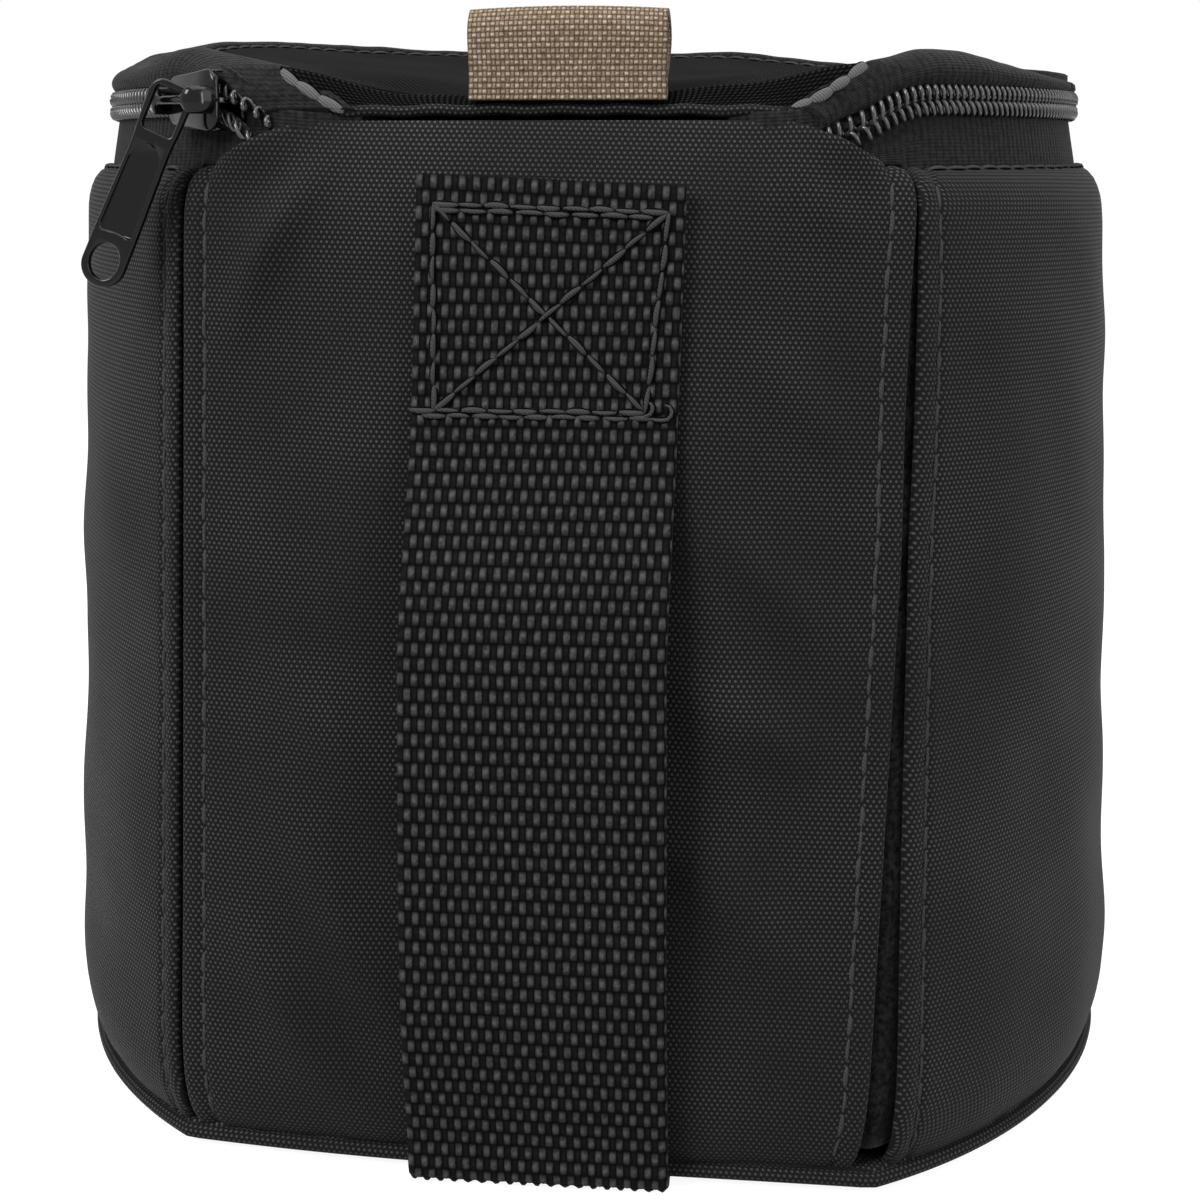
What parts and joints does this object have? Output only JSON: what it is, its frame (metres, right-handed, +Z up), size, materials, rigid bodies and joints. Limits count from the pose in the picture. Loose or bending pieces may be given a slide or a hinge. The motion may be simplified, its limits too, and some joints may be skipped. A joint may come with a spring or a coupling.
{
  "type": "lens pouch",
  "caption": "Padded round lens pouch in black nylon with a flat belt side, zipped lid, belt strap down its back and a tan hanging loop at the lid hinge.",
  "frame": {"origin": "on the body's round axis, in the plane that the base rests on", "axes": "+Z up to the lid, -Y out of the belt side with the strap and the lid hinge, +X across the pouch to the right as seen facing the belt side"},
  "size_m": [0.1791, 0.1709, 0.1701],
  "materials": {
    "black_nylon": "coarse woven nylon with a soft sheen",
    "black_webbing": "ribbed woven webbing",
    "tan_webbing": "fine woven tape",
    "zip_tape": "ribbed woven tape",
    "coil_nylon": "semi-gloss",
    "enamelled_metal": "gloss black enamel",
    "padding_foam": "closed-cell foam",
    "brushed_lining": "brushed knit",
    "stiff_board": "plain board"
  },
  "bodies": {
    "pouch_body": {"back_panel": "black_nylon", "wrap_panel": "black_nylon", "left_seam_tape": "brushed_lining", "right_seam_tape": "brushed_lining", "back_foam": "padding_foam", "wrap_foam": "padding_foam", "lining_wall": "brushed_lining", "mouth_binding": "black_nylon", "base_panel": "black_nylon", "base_foam": "padding_foam", "base_board": "stiff_board", "lining_floor": "brushed_lining", "base_welt": "black_nylon", "zip_tape_lower": "zip_tape", "zip_coil_lower": "coil_nylon", "belt_strap": "black_webbing", "hinge_fold": "black_nylon"},
    "lid": {"lid_top_panel": "black_nylon", "lid_foam": "padding_foam", "lid_lining": "brushed_lining", "lid_band": "zip_tape", "lid_rear_strip": "black_nylon", "hanging_loop": "tan_webbing", "zip_tape_upper": "zip_tape", "zip_coil_upper": "coil_nylon"},
    "slider": {"slider_body": "enamelled_metal"},
    "pull": {"pull_tab": "enamelled_metal"}
  },
  "joints": [
    {"name": "lid_open", "type": "hinge", "parent": "pouch_body", "child": "lid", "pos_m": [0, -0.0662, 0.1556], "axis": [1, 0, 0], "range_deg": [0, 110], "deforming": ["zip_tape_upper"]},
    {"name": "slider_travel", "type": "hinge", "parent": "pouch_body", "child": "slider", "pos_m": [0, 0, 0.157], "axis": [0, 0, -1], "range_deg": [0, 276.5], "deforming": ["zip_coil_lower", "zip_coil_upper"]},
    {"name": "pull_lift", "type": "hinge", "parent": "slider", "child": "pull", "pos_m": [-0.05302, -0.0691, 0.157], "axis": [-0.7934, 0.6088, 0], "range_deg": [0, 150]}
  ]
}
